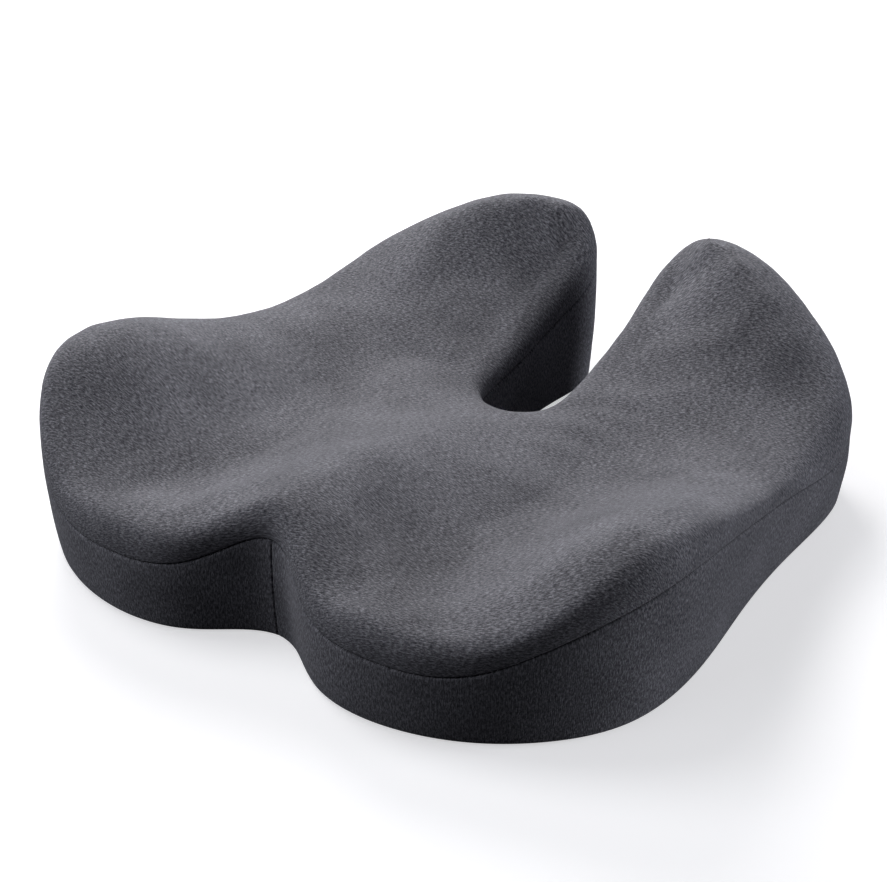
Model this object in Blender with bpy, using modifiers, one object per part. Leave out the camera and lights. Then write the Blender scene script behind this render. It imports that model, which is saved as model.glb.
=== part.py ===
"""Contoured seat cushion: moulded foam core in a sewn, zipped fabric cover.

Frame: +Z up, the front (thigh lobes and notch) toward -Y, the rear wings and the
tailbone slot toward +Y, symmetric about x = 0, underside on z = 0.  Metres.
"""
import bpy
import bmesh
import numpy as np
from mathutils import Vector
from mathutils.geometry import delaunay_2d_cdt

# ---- overall sizes
HALF_WIDTH = 0.219        # floor outline, middle line to side
HALF_DEPTH = 0.222        # floor outline, middle to front or rear
HEIGHT = 0.136            # floor to the crest of the rear wings
SLOT_HALF_WIDTH = 0.028   # tailbone slot, middle line to wall
SLOT_LENGTH = 0.177       # tailbone slot, closed end to rear edge
NOTCH_DEPTH = 0.035       # front notch, back from the lobes' front edge

# ---- cloth and stitching
CLOTH = 0.0015            # knit fabric of the cover
GAP = 0.0003              # space left between neighbouring pieces
FOAM_GAP = 0.0006         # space between the foam and the cloth round it
SEAM_HALF_GAP = 0.0009    # half the groove that a seam thread lies in
THREAD_R = 0.00045        # seam threads
PANEL_INSET = 0.0016      # underside panels, edge back from the floor outline
WALL_BULGE = 0.0015       # side band, swell at half height

# ---- underside zip, running along x
ZIP_Y = -0.040
ZIP_HALF = 0.165          # coil, middle to end
ZIP_Z = 0.0060            # centre of the coil above the floor
COIL_R = 0.0009
COIL_Y = 0.0017           # coil centre from the zip's middle line
TAPE_T = 0.0006
TAPE_IN = 0.0029
TAPE_OUT = 0.0118
WINDOW_HALF_X = 0.184     # recess in the underside that the zip sits in
WINDOW_HALF_Y = 0.0120
FLANGE_IN = 0.0058        # panel edge folded up under the tape
FLANGE_T = 0.0015
STITCH_R = 0.0003
SLIDER_X = 0.155          # slider at rest, zip closed
SLIDER_LEN = 0.0110
SLIDER_HALF_Y = 0.0044
SLIDER_PLATE = 0.0012
SLIDER_BORE = 0.0015      # half height of the space inside the slider
PIN_Z = 0.0017
PIN_R = 0.00045
PULL_LEN = 0.0220
PULL_T = 0.0012
PULL_HALF_Y = 0.0022

# ---- mesh density
HALF_STEPS = 54           # outline steps from the notch to the slot end
SHOULDER_STEPS = 4        # steps up the rounded shoulder, seam to crest
LATTICE = 0.019           # spacing of the points inside the crest

# Outline from the notch round the +x side to the slot end.  Columns: x and y of the
# floor outline, seam height, crest height, outward lean of the side band, how far the
# shoulder runs inward from seam to crest, and how square it is (2 is evenly round).
W, D, H = HALF_WIDTH, HALF_DEPTH, HEIGHT
S = SLOT_HALF_WIDTH
SLOT_END_Y = D - SLOT_LENGTH
NOTCH_Y = NOTCH_DEPTH - D
STATIONS = [
    (0.00 * W, NOTCH_Y, 0.51 * H, 0.68 * H, 0.003, 0.014, 2.4),
    (0.09 * W, NOTCH_Y - 0.03 * D, 0.47 * H, 0.62 * H, 0.003, 0.015, 2.5),
    (0.23 * W, -0.965 * D, 0.36 * H, 0.515 * H, 0.003, 0.016, 2.8),
    (0.43 * W, -1.00 * D, 0.33 * H, 0.495 * H, 0.003, 0.016, 2.8),
    (0.66 * W, -0.94 * D, 0.35 * H, 0.50 * H, 0.005, 0.016, 3.0),
    (0.845 * W, -0.81 * D, 0.50 * H, 0.65 * H, 0.007, 0.017, 3.1),
    (0.97 * W, -0.625 * D, 0.63 * H, 0.825 * H, 0.008, 0.018, 3.0),
    (1.00 * W, -0.34 * D, 0.62 * H, 0.79 * H, 0.006, 0.020, 2.8),
    (0.96 * W, -0.02 * D, 0.50 * H, 0.61 * H, 0.006, 0.022, 2.6),
    (0.935 * W, 0.27 * D, 0.40 * H, 0.52 * H, 0.006, 0.024, 2.5),
    (0.93 * W, 0.52 * D, 0.33 * H, 0.55 * H, 0.005, 0.025, 2.4),
    (0.89 * W, 0.72 * D, 0.37 * H, 0.65 * H, 0.004, 0.026, 2.4),
    (0.75 * W, 0.85 * D, 0.58 * H, 0.78 * H, 0.004, 0.025, 2.4),
    (0.46 * W, 0.96 * D, 0.84 * H, 0.98 * H, 0.004, 0.023, 2.4),
    (S + 0.015, 1.00 * D, 0.77 * H, 0.94 * H, 0.003, 0.016, 2.3),
    (S - 0.001, 0.90 * D, 0.62 * H, 0.81 * H, 0.002, 0.017, 2.3),
    (S + 0.000, 0.72 * D, 0.50 * H, 0.66 * H, 0.002, 0.021, 2.4),
    (S + 0.001, 0.52 * D, 0.40 * H, 0.53 * H, 0.002, 0.024, 2.5),
    (S + 0.001, SLOT_END_Y + 1.10 * S, 0.34 * H, 0.46 * H, 0.002, 0.024, 2.6),
    (0.80 * S, SLOT_END_Y + 0.33 * S, 0.33 * H, 0.445 * H, 0.002, 0.023, 2.6),
    (0.00 * W, SLOT_END_Y, 0.33 * H, 0.44 * H, 0.002, 0.023, 2.6),
]
RIDGE = [(-0.70 * D, 0.69 * H), (-0.60 * D, 0.68 * H), (-0.44 * D, 0.64 * H),
         (-0.25 * D, 0.57 * H), (-0.05 * D, 0.50 * H), (0.08 * D, 0.45 * H)]
CHANNEL = [(0.16 * W, -0.68 * D, 0.58 * H), (0.17 * W, -0.44 * D, 0.55 * H),
           (0.18 * W, -0.20 * D, 0.505 * H),
           (0.48 * W, -0.78 * D, 0.455 * H), (0.50 * W, -0.54 * D, 0.46 * H),
           (0.51 * W, -0.27 * D, 0.44 * H), (0.51 * W, 0.00 * D, 0.41 * H),
           (0.50 * W, 0.27 * D, 0.45 * H), (0.47 * W, 0.50 * D, 0.58 * H),
           (0.43 * W, 0.70 * D, 0.77 * H)]


def material(name, rgb, rough, metal=0.0):
    mat = bpy.data.materials.new(name)
    mat.use_nodes = True
    bsdf = mat.node_tree.nodes["Principled BSDF"]
    bsdf.inputs["Base Color"].default_value = (*rgb, 1.0)
    bsdf.inputs["Roughness"].default_value = rough
    bsdf.inputs["Metallic"].default_value = metal
    return mat


def finish(obj, mat, group):
    obj.data.materials.clear()
    obj.data.materials.append(mat)
    for owner in list(obj.users_collection):
        owner.objects.unlink(obj)
    group.objects.link(obj)
    return obj


def mesh_object(name, verts, faces):
    mesh = bpy.data.meshes.new(name)
    mesh.from_pydata([tuple(v) for v in verts], [], [tuple(f) for f in faces])
    mesh.update()
    obj = bpy.data.objects.new(name, mesh)
    bpy.context.scene.collection.objects.link(obj)
    return obj


def apply_modifier(obj, kind, **settings):
    mod = obj.modifiers.new(kind.title(), kind)
    for key, value in settings.items():
        setattr(mod, key, value)
    bpy.context.view_layer.objects.active = obj
    bpy.ops.object.modifier_apply(modifier=mod.name)


def box(name, low, high):
    low, high = Vector(low), Vector(high)
    bpy.ops.mesh.primitive_cube_add(size=1.0, location=(low + high) / 2)
    obj = bpy.context.object
    obj.name = name
    obj.scale = high - low
    bpy.ops.object.transform_apply(location=True, rotation=False, scale=True)
    return obj


def rod(name, start, end, radius, sides=10):
    start, end = Vector(start), Vector(end)
    axis = end - start
    bpy.ops.mesh.primitive_cylinder_add(vertices=sides, radius=radius, depth=axis.length,
                                        location=(start + end) / 2,
                                        rotation=axis.to_track_quat("Z", "Y").to_euler())
    obj = bpy.context.object
    obj.name = name
    bpy.ops.object.transform_apply(location=True, rotation=True, scale=False)
    return obj


def combine(obj, others, operation):
    for other in others:
        apply_modifier(obj, "BOOLEAN", object=other, operation=operation, solver="EXACT")
        bpy.data.objects.remove(other)
    return obj


def thread(name, path, radius, closed):
    curve = bpy.data.curves.new(name, "CURVE")
    curve.dimensions = "3D"
    curve.bevel_depth = radius
    curve.bevel_resolution = 1
    curve.use_fill_caps = not closed
    spline = curve.splines.new("POLY")
    spline.points.add(len(path) - 1)
    for point, place in zip(spline.points, path):
        point.co = (*place, 1.0)
    spline.use_cyclic_u = closed
    obj = bpy.data.objects.new(name, curve)
    bpy.context.scene.collection.objects.link(obj)
    return obj


def spline(knots, values, at, periodic=False):
    """Cubic spline through values at knots: periodic, or with free ends."""
    knots, values = np.asarray(knots, float), np.asarray(values, float)
    count = len(knots)
    step = np.diff(knots)
    slope = np.diff(values, axis=0) / step[:, None]
    matrix = np.eye(count)
    right = np.zeros_like(values)
    for i in range(1, count - 1):
        matrix[i, i - 1:i + 2] = step[i - 1], 2 * (step[i - 1] + step[i]), step[i]
        right[i] = 6 * (slope[i] - slope[i - 1])
    if periodic:
        matrix[0] = 0.0
        matrix[0, [0, 1, -2]] = 2 * (step[-1] + step[0]), step[0], step[-1]
        right[0] = 6 * (slope[0] - slope[-1])
        matrix[-1, 0] = -1.0
    curve = np.linalg.solve(matrix, right)
    k = np.clip(np.searchsorted(knots, at, side="right") - 1, 0, count - 2)
    a = (knots[k + 1] - at)[:, None]
    b = (at - knots[k])[:, None]
    h = step[k][:, None]
    return (curve[k] * a ** 3 / (6 * h) + curve[k + 1] * b ** 3 / (6 * h)
            + (values[k] / h - curve[k] * h / 6) * a
            + (values[k + 1] / h - curve[k + 1] * h / 6) * b)


def half_outline():
    """Even steps along the outline: places, outward normals and the other columns."""
    rows = np.array(STATIONS)
    mirror = rows[-2:0:-1] * [-1, 1, 1, 1, 1, 1, 1]
    ring = np.vstack([rows, mirror, rows[:1]])
    chord = np.linalg.norm(np.diff(ring[:, :2], axis=0), axis=1)
    knots = np.concatenate([[0.0], np.cumsum(np.sqrt(chord))])
    fine = np.linspace(0.0, knots[len(rows) - 1], 1200)
    dense = spline(knots, ring, fine, periodic=True)
    run = np.linalg.norm(np.diff(dense[:, :2], axis=0), axis=1)
    length = np.concatenate([[0.0], np.cumsum(run)])
    at = np.interp(np.linspace(0.0, length[-1], HALF_STEPS + 1), length, fine)
    even = spline(knots, ring, at, periodic=True)
    tangent = np.gradient(dense[:, :2], fine, axis=0)
    tangent = np.column_stack([np.interp(at, fine, tangent[:, i]) for i in (0, 1)])
    normal = np.column_stack([tangent[:, 1], -tangent[:, 0]])
    normal[[0, -1], 0] = 0.0
    even[[0, -1], 0] = 0.0
    normal /= np.linalg.norm(normal, axis=1)[:, None]
    return even, normal


class Form:
    """Outer surface of the finished cushion, as rings round the outline."""

    def __init__(self):
        half, normal = half_outline()
        turn = [-1, 1, 1, 1, 1, 1, 1]
        self.rows = np.vstack([half, half[-2:0:-1] * turn])
        self.normal = np.vstack([normal, normal[-2:0:-1] * [-1, 1]])
        lean = self.wall_offset(self.rows[:, 2])
        edge = self.rows[:, :2] + self.normal * lean[:, None]
        self.rows[:, 1] -= (edge[:, 1].max() + edge[:, 1].min()) / 2
        ahead = np.roll(self.rows[:, :3], -1, axis=0)
        behind = np.roll(self.rows[:, :3], 1, axis=0)
        rise = (ahead - behind)[:, 2]
        run = np.linalg.norm((ahead - behind)[:, :2], axis=1)
        self.steep = np.sqrt(1.0 + (rise / run) ** 2)

    def wall_offset(self, z):
        share = z / self.rows[:, 2]
        return self.rows[:, 4] * share + WALL_BULGE * 4 * share * (1 - share)

    def wall(self, z, inset=0.0):
        """Ring on the side wall at height z (one value or one per step)."""
        z = np.broadcast_to(z, len(self.rows))
        flat = self.rows[:, :2] + self.normal * (self.wall_offset(z) - inset)[:, None]
        return np.column_stack([flat, z])

    def shoulder(self, angle, lift=0.0):
        """Ring on the rounded shoulder: 0 is the seam, a right angle is the crest."""
        seam, crest, inward = self.rows[:, 2], self.rows[:, 3], self.rows[:, 5]
        power = 2.0 / self.rows[:, 6]
        out = self.rows[:, 4] - inward * (1 - max(np.cos(angle), 0.0) ** power)
        flat = self.rows[:, :2] + self.normal * out[:, None]
        rise = (crest - seam - lift) * np.sin(angle) ** power
        return np.column_stack([flat, seam + lift + rise])

    def shoulders(self, lift=0.0):
        return [self.shoulder(a, lift) for a in np.linspace(0, np.pi / 2, SHOULDER_STEPS + 1)]

    def top_points(self, crest):
        """Places inside the crest ring on an even lattice, mirror-equal about x = 0."""
        column = np.arange(-24, 25) * LATTICE / 2
        row = np.arange(-20, 21) * LATTICE * 0.87
        spots = [(x, y) for j, y in enumerate(row) for x in column[j % 2::2]]
        spots = np.array([p for p in spots if inside(p, crest)])
        return np.column_stack([spots, self.sheet(crest, spots)])

    def sheet(self, crest, spots):
        """Height of the top: a thin plate through the crest, the ridge and the channels."""
        rim = crest[:, :3]
        shelf = rim - np.column_stack([self.normal * 0.007, np.full(len(rim), -0.0006)])
        held = [tuple(p) for p in rim[::2]] + [tuple(p) for p in shelf[1::2]]
        held += [(0.0, y, z) for y, z in RIDGE]
        held += [(side * x, y, z) for x, y, z in CHANNEL for side in (-1, 1)]
        held = np.array(held)
        count = len(held)
        plane = np.column_stack([np.ones(count), held[:, :2]])
        matrix = np.zeros((count + 3, count + 3))
        matrix[:count, :count] = plate(held[:, :2], held[:, :2])
        matrix[:count, count:] = plane
        matrix[count:, :count] = plane.T
        weight = np.linalg.solve(matrix, np.concatenate([held[:, 2], np.zeros(3)]))
        return (plate(spots, held[:, :2]) @ weight[:count]
                + np.column_stack([np.ones(len(spots)), spots]) @ weight[count:])


def plate(first, second):
    square = ((first[:, None] - second[None]) ** 2).sum(axis=2)
    return square * np.log(np.maximum(square, 1e-12))


def inside(spot, ring):
    """True when the spot is in the ring and clear of its edge."""
    a, b = ring[:, :2], np.roll(ring[:, :2], -1, axis=0)
    edge = b - a
    share = np.clip(((spot - a) * edge).sum(axis=1) / (edge ** 2).sum(axis=1), 0, 1)
    nearest = np.linalg.norm(spot - a - share[:, None] * edge, axis=1).min()
    above = (a[:, 1] > spot[1]) != (b[:, 1] > spot[1])
    cross = a[:, 0] + (spot[1] - a[:, 1]) * edge[:, 0] / np.where(above, edge[:, 1], 1.0)
    return (above & (spot[0] < cross)).sum() % 2 == 1 and nearest > 0.55 * LATTICE


def ring_faces(first, second, count, closed=True):
    last = count if closed else count - 1
    return [(first + i, first + (i + 1) % count, second + (i + 1) % count, second + i)
            for i in range(last)]


def skin(name, rings, form, base=False):
    """Loft rings up to the crest and fill the top; with base, close the underside."""
    count = len(rings[0])
    verts = [tuple(p) for ring in rings for p in ring]
    faces = []
    for i in range(len(rings) - 1):
        faces += ring_faces(i * count, (i + 1) * count, count)
    crest = rings[-1]
    first = len(verts) - count
    extra = form.top_points(crest)
    verts += [tuple(p) for p in extra]
    flat = [Vector(p[:2]) for p in verts[first:]]
    rim = list(range(count))
    fill = delaunay_2d_cdt(flat, [], [rim], 1, 1e-7)
    source = [ids[0] for ids in fill[3]]
    for face in fill[2]:
        faces.append([first + source[i] for i in face])
    if base:
        faces.append(tuple(reversed(range(count))))
    obj = mesh_object(name, verts, faces)
    work = bmesh.new()
    work.from_mesh(obj.data)
    bmesh.ops.recalc_face_normals(work, faces=work.faces)
    work.to_mesh(obj.data)
    work.free()
    return obj


def shrink(obj, distance):
    """Move a closed mesh inward by an even distance."""
    work = bmesh.new()
    work.from_mesh(obj.data)
    work.normal_update()
    moves = [(v, v.normal * distance * min(v.calc_shell_factor(), 1.5)) for v in work.verts]
    for vert, move in moves:
        vert.co -= move
    work.to_mesh(obj.data)
    work.free()


def foam_core(form, group):
    rings = [form.wall(0.0), form.wall(form.rows[:, 2] / 2), *form.shoulders()]
    obj = skin("foam_core", rings, form, base=True)
    shrink(obj, CLOTH + FOAM_GAP)
    channel = box("channel", (-WINDOW_HALF_X - 0.004, ZIP_Y - WINDOW_HALF_Y - 0.002, -0.002),
                  (WINDOW_HALF_X + 0.004, ZIP_Y + WINDOW_HALF_Y + 0.002, 0.0095))
    combine(obj, [channel], "DIFFERENCE")
    return finish(obj, material("memory foam", (0.82, 0.80, 0.72), 0.9), group)


def top_panel(form, group):
    lift = SEAM_HALF_GAP * form.steep
    obj = skin("cover_top_panel", form.shoulders(lift), form)
    apply_modifier(obj, "SOLIDIFY", thickness=CLOTH, offset=-1.0, use_even_offset=True)
    return finish(obj, material("charcoal heather knit", (0.13, 0.13, 0.14), 0.95), group)


def side_band(name, form, side, group):
    low = form.wall(CLOTH + GAP)
    top = form.wall(form.rows[:, 2] - SEAM_HALF_GAP * form.steep)
    middle = form.wall(form.rows[:, 2] / 2)
    strips = [ring[:HALF_STEPS + 1] * [side, 1, 1] for ring in (low, middle, top)]
    verts = []
    for strip in strips:
        strip = strip.copy()
        strip[[0, -1], 0] = side * (THREAD_R + GAP)
        verts += list(strip)
    count = HALF_STEPS + 1
    faces = ring_faces(0, count, count, False) + ring_faces(count, 2 * count, count, False)
    if side < 0:
        faces = [face[::-1] for face in faces]
    obj = mesh_object(name, verts, faces)
    apply_modifier(obj, "SOLIDIFY", thickness=CLOTH, offset=-1.0, use_even_offset=True)
    return finish(obj, material(name + " knit", (0.11, 0.11, 0.12), 0.95), group)


def bottom_panel(name, form, side, group):
    """Underside panel in front of (side -1) or behind (side 1) the zip line."""
    outline = form.wall(0.0, PANEL_INSET)
    count = len(outline)
    verts = list(outline) + list(outline + [0, 0, CLOTH])
    faces = [tuple(reversed(range(count))), tuple(range(count, 2 * count))]
    faces += ring_faces(0, count, count)
    obj = mesh_object(name, verts, faces)
    split = THREAD_R + GAP
    near, far = sorted((ZIP_Y + side * split, ZIP_Y + side * 1.0))
    combine(obj, [box("half", (-0.5, near, -0.1), (0.5, far, 0.1))], "INTERSECT")
    window = box("window", (-WINDOW_HALF_X, ZIP_Y - WINDOW_HALF_Y, -0.01),
                 (WINDOW_HALF_X, ZIP_Y + WINDOW_HALF_Y, 0.01))
    combine(obj, [window], "DIFFERENCE")
    top = ZIP_Z - TAPE_T / 2 - GAP
    near, far = sorted((ZIP_Y + side * FLANGE_IN, ZIP_Y + side * (WINDOW_HALF_Y + CLOTH)))
    flange = box("flange", (-WINDOW_HALF_X, near, top - FLANGE_T), (WINDOW_HALF_X, far, top))
    near, far = sorted((ZIP_Y + side * WINDOW_HALF_Y, ZIP_Y + side * (WINDOW_HALF_Y + CLOTH)))
    riser = box("riser", (-WINDOW_HALF_X, near, CLOTH / 2), (WINDOW_HALF_X, far, top - FLANGE_T / 2))
    combine(obj, [riser, flange], "UNION")
    return finish(obj, material(name + " grip cloth", (0.03, 0.03, 0.035), 0.9), group)


def seam_threads(form, group):
    black = material("seam thread", (0.03, 0.03, 0.035), 0.8)
    seam = form.rows[:, 2]
    top = form.wall(seam, 0.0006)
    finish(thread("top_seam_thread", top, THREAD_R, True), black, group)
    low = form.wall(CLOTH * 0.55, 0.0008)
    finish(thread("bottom_seam_thread", low, THREAD_R, True), black, group)
    for name, k in (("front_join_thread", 0), ("slot_join_thread", HALF_STEPS)):
        heights = np.linspace(0.0030, seam[k] - 0.0022, 6)
        path = [form.wall(z, 0.0007)[k] for z in heights]
        finish(thread(name, path, THREAD_R, False), black, group)
    ring = form.wall(0.0, PANEL_INSET)
    right = ring[:HALF_STEPS + 1]
    outer = right[:HALF_STEPS // 2 + 8]
    reach = np.interp(ZIP_Y, outer[:, 1][5:], outer[:, 0][5:]) - 0.001
    for name, side in (("bottom_join_thread_left", -1), ("bottom_join_thread_right", 1)):
        path = [(side * x, ZIP_Y, CLOTH / 2) for x in (WINDOW_HALF_X + GAP, reach)]
        finish(thread(name, path, THREAD_R, False), black, group)


def zip_parts(group):
    tape_cloth = material("zip tape", (0.02, 0.02, 0.02), 0.85)
    nylon = material("zip coil nylon", (0.03, 0.03, 0.03), 0.4)
    black = material("zip stitching", (0.03, 0.03, 0.035), 0.8)
    enamel = material("zip slider enamel", (0.05, 0.05, 0.05), 0.35, 0.8)
    stitch_z = ZIP_Z - TAPE_T / 2 - GAP - FLANGE_T - STITCH_R - 0.0002
    for name, side in (("front", -1), ("rear", 1)):
        near, far = sorted((ZIP_Y + side * TAPE_IN, ZIP_Y + side * TAPE_OUT))
        tape = box("zip_tape_" + name, (-ZIP_HALF - 0.012, near, ZIP_Z - TAPE_T / 2),
                   (ZIP_HALF + 0.012, far, ZIP_Z + TAPE_T / 2))
        finish(tape, tape_cloth, group)
        y = ZIP_Y + side * COIL_Y
        coil = rod("zip_coil_" + name, (-ZIP_HALF, y, ZIP_Z), (ZIP_HALF, y, ZIP_Z), COIL_R)
        finish(coil, nylon, group)
        y = ZIP_Y + side * (FLANGE_IN + WINDOW_HALF_Y) / 2
        path = [(x, y, stitch_z) for x in (-ZIP_HALF - 0.010, ZIP_HALF + 0.010)]
        finish(thread("zip_stitch_" + name, path, STITCH_R, False), black, group)
    for name, side in (("zip_top_stop", 1), ("zip_bottom_stop", -1)):
        near, far = sorted((side * (ZIP_HALF + GAP), side * (ZIP_HALF + 0.0025)))
        stop = box(name, (near, ZIP_Y - 0.0024, ZIP_Z - 0.0012),
                   (far, ZIP_Y + 0.0024, ZIP_Z + 0.0012))
        finish(stop, material(name + " metal", (0.2, 0.2, 0.2), 0.35, 1.0), group)
    slider = zip_slider()
    finish(slider, enamel, group)
    pull = zip_pull()
    finish(pull, enamel, group)
    pull.parent = slider
    pull.matrix_parent_inverse = slider.matrix_world.inverted()


def set_origin(obj, place):
    """Put the object's origin at a place without moving its shape."""
    obj.data.transform(obj.matrix_world.inverted())
    for vert in obj.data.vertices:
        vert.co -= Vector(place)
    obj.location = place
    bpy.context.view_layer.update()


def zip_slider():
    """Two plates round the coils, joined by a post, with lugs for the pull below."""
    x0, x1 = SLIDER_X - SLIDER_LEN / 2, SLIDER_X + SLIDER_LEN / 2
    y0, y1 = ZIP_Y - SLIDER_HALF_Y, ZIP_Y + SLIDER_HALF_Y
    low, high = ZIP_Z - SLIDER_BORE, ZIP_Z + SLIDER_BORE
    body = box("zip_slider", (x0, y0, low - SLIDER_PLATE), (x1, y1, low))
    lip = ZIP_Z - TAPE_T / 2 - GAP - low
    pieces = [box("plate", (x0, y0, high), (x1, y1, high + SLIDER_PLATE))]
    post_half = COIL_Y - COIL_R - GAP - 0.0001
    pieces.append(box("post", (x1 - 0.0035, ZIP_Y - post_half, low - 0.0003),
                      (x1 - 0.0005, ZIP_Y + post_half, high + 0.0003)))
    for side in (-1, 1):
        near, far = sorted((ZIP_Y + side * (TAPE_IN + 0.0005), ZIP_Y + side * SLIDER_HALF_Y))
        pieces.append(box("lip", (x0, near, low - 0.0003), (x1, far, low + lip)))
        pieces.append(box("lip", (x0, near, high - lip), (x1, far, high + 0.0003)))
        near, far = sorted((ZIP_Y + side * (PULL_HALF_Y + GAP), ZIP_Y + side * 0.0037))
        pieces.append(box("lug", (SLIDER_X - 0.0012, near, PIN_Z - 0.0009),
                          (SLIDER_X + 0.0012, far, low - SLIDER_PLATE / 2)))
    pieces.append(rod("pin", (SLIDER_X, ZIP_Y - 0.0030, PIN_Z), (SLIDER_X, ZIP_Y + 0.0030, PIN_Z),
                      PIN_R, 12))
    combine(body, pieces, "UNION")
    set_origin(body, (SLIDER_X, ZIP_Y, ZIP_Z))
    return body


def zip_pull():
    """Pull tab: an eye round the slider's pin and a flat tab along -x."""
    eye = rod("zip_pull", (SLIDER_X, ZIP_Y - PULL_HALF_Y, PIN_Z),
              (SLIDER_X, ZIP_Y + PULL_HALF_Y, PIN_Z), PIN_R + GAP + 0.0006, 16)
    tab = box("tab", (SLIDER_X - PULL_LEN, ZIP_Y - PULL_HALF_Y, PIN_Z - PULL_T / 2),
              (SLIDER_X - PIN_R, ZIP_Y + PULL_HALF_Y, PIN_Z + PULL_T / 2))
    combine(eye, [tab], "UNION")
    bore = rod("bore", (SLIDER_X, ZIP_Y - 0.01, PIN_Z), (SLIDER_X, ZIP_Y + 0.01, PIN_Z),
               PIN_R + GAP, 16)
    combine(eye, [bore], "DIFFERENCE")
    set_origin(eye, (SLIDER_X, ZIP_Y, PIN_Z))
    return eye


def main():
    for obj in list(bpy.data.objects):
        bpy.data.objects.remove(obj)
    group = bpy.data.collections.new("seat_cushion")
    bpy.context.scene.collection.children.link(group)
    form = Form()
    foam_core(form, group)
    top_panel(form, group)
    side_band("side_band_left", form, -1, group)
    side_band("side_band_right", form, 1, group)
    bottom_panel("bottom_panel_front", form, -1, group)
    bottom_panel("bottom_panel_rear", form, 1, group)
    seam_threads(form, group)
    zip_parts(group)


main()
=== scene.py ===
import math

import bmesh
import bpy
import numpy as np
from bpy.props import FloatProperty, FloatVectorProperty, PointerProperty
from mathutils import Matrix, Vector, noise
from mathutils.geometry import delaunay_2d_cdt


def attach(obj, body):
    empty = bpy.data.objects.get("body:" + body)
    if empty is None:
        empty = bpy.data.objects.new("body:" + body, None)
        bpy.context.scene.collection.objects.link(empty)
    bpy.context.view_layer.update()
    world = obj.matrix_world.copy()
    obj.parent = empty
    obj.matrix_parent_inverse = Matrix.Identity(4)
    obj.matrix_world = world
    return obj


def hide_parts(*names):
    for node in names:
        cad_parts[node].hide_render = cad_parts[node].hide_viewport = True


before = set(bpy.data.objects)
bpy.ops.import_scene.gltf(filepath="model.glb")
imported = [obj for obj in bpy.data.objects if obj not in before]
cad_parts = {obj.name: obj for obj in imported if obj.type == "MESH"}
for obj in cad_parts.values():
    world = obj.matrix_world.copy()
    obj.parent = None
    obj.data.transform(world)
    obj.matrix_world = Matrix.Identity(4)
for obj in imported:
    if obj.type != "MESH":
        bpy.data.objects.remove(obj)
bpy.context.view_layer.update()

bl_info = {
    "name": "Contoured seat cushion",
    "version": (1, 0, 0),
    "blender": (4, 5, 0),
    "location": "View3D > Sidebar > Cushion",
    "description": "Sews a knit cover, zip and grip base round a moulded foam seat cushion",
    "category": "Object",
}

# ---- the cushion's form, as in the part: +Z up, front toward -Y, metres
W, D, H, S = 0.219, 0.222, 0.136, 0.028   # half width, half depth, height, slot half width
SLOT_END_Y = D - 0.177
NOTCH_Y = 0.035 - D
WALL_BULGE = 0.0015
# Outline from the notch round the +x side to the slot end.  Columns: x and y of the
# floor outline, seam height, crest height, outward lean of the side band, how far the
# shoulder runs inward from seam to crest, and how square it is (2 is evenly round).
STATIONS = [
    (0.00 * W, NOTCH_Y, 0.51 * H, 0.68 * H, 0.003, 0.014, 2.4),
    (0.09 * W, NOTCH_Y - 0.03 * D, 0.47 * H, 0.62 * H, 0.003, 0.015, 2.5),
    (0.23 * W, -0.965 * D, 0.36 * H, 0.515 * H, 0.003, 0.016, 2.8),
    (0.43 * W, -1.00 * D, 0.33 * H, 0.495 * H, 0.003, 0.016, 2.8),
    (0.66 * W, -0.94 * D, 0.35 * H, 0.50 * H, 0.005, 0.016, 3.0),
    (0.845 * W, -0.81 * D, 0.50 * H, 0.65 * H, 0.007, 0.017, 3.1),
    (0.97 * W, -0.625 * D, 0.63 * H, 0.825 * H, 0.008, 0.018, 3.0),
    (1.00 * W, -0.34 * D, 0.62 * H, 0.79 * H, 0.006, 0.020, 2.8),
    (0.96 * W, -0.02 * D, 0.50 * H, 0.61 * H, 0.006, 0.022, 2.6),
    (0.935 * W, 0.27 * D, 0.40 * H, 0.52 * H, 0.006, 0.024, 2.5),
    (0.93 * W, 0.52 * D, 0.33 * H, 0.55 * H, 0.005, 0.025, 2.4),
    (0.89 * W, 0.72 * D, 0.37 * H, 0.65 * H, 0.004, 0.026, 2.4),
    (0.75 * W, 0.85 * D, 0.58 * H, 0.78 * H, 0.004, 0.025, 2.4),
    (0.46 * W, 0.96 * D, 0.84 * H, 0.98 * H, 0.004, 0.023, 2.4),
    (S + 0.015, 1.00 * D, 0.77 * H, 0.94 * H, 0.003, 0.016, 2.3),
    (S - 0.001, 0.90 * D, 0.62 * H, 0.81 * H, 0.002, 0.017, 2.3),
    (S + 0.000, 0.72 * D, 0.50 * H, 0.66 * H, 0.002, 0.021, 2.4),
    (S + 0.001, 0.52 * D, 0.40 * H, 0.53 * H, 0.002, 0.024, 2.5),
    (S + 0.001, SLOT_END_Y + 1.10 * S, 0.34 * H, 0.46 * H, 0.002, 0.024, 2.6),
    (0.80 * S, SLOT_END_Y + 0.33 * S, 0.33 * H, 0.445 * H, 0.002, 0.023, 2.6),
    (0.00 * W, SLOT_END_Y, 0.33 * H, 0.44 * H, 0.002, 0.023, 2.6),
]
MIRROR = (-1, 1, 1, 1, 1, 1, 1)   # turns a station into its twin on the -x side
RIDGE = [(-0.70 * D, 0.69 * H), (-0.60 * D, 0.68 * H), (-0.44 * D, 0.64 * H),
         (-0.25 * D, 0.57 * H), (-0.05 * D, 0.50 * H), (0.08 * D, 0.45 * H)]
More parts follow.
